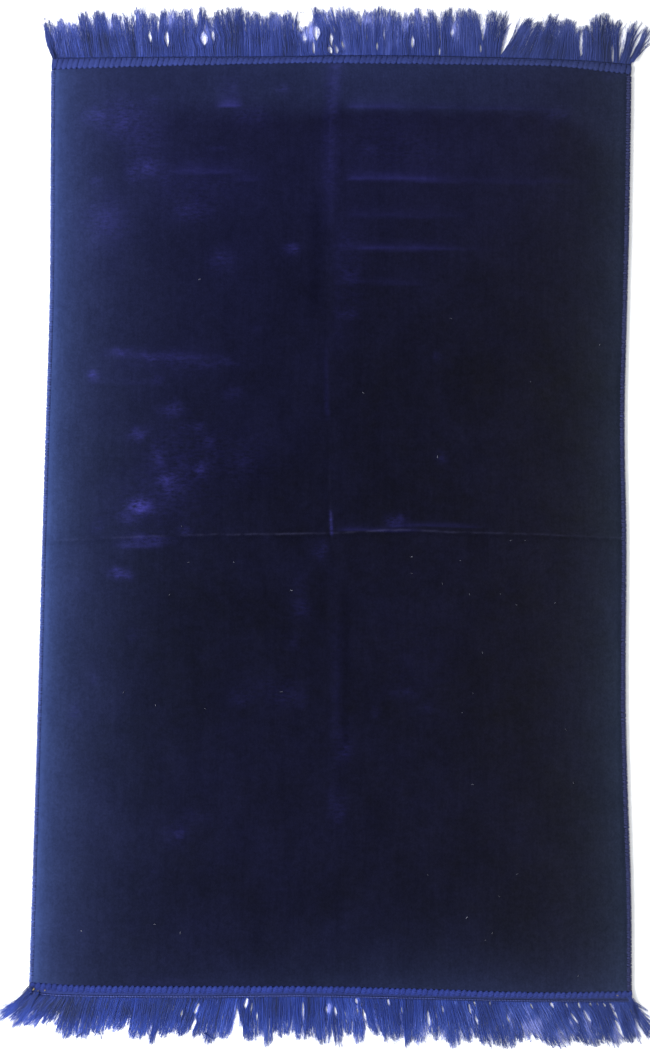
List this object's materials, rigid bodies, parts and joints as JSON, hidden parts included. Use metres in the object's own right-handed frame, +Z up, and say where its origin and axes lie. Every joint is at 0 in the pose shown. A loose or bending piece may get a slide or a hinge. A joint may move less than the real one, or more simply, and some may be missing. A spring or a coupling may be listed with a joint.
{
  "type": "velvet prayer rug",
  "caption": "Flat rectangular velvet pile rug with whipped sides, ribbed headings and a thread fringe along both short ends.",
  "frame": {"origin": "middle of the pile cloth on the flat underside, which lies on the floor", "axes": "+Y along the rug's length towards its far fringed end, +X across it to the right, +Z up out of the pile"},
  "size_m": [0.7687, 1.245, 0.0051],
  "materials": {
    "pile": "dark navy velvet pile with violet brush marks",
    "binding": "royal blue overlock yarn",
    "heading": "royal blue whipping yarn in slanted ribs",
    "fringe": "fine royal blue thread"
  },
  "bodies": {
    "root": {"pile_panel": "pile", "binding_left": "binding", "binding_right": "binding", "heading_far": "heading", "heading_near": "heading", "fringe_far": "fringe", "fringe_near": "fringe"}
  },
  "joints": []
}
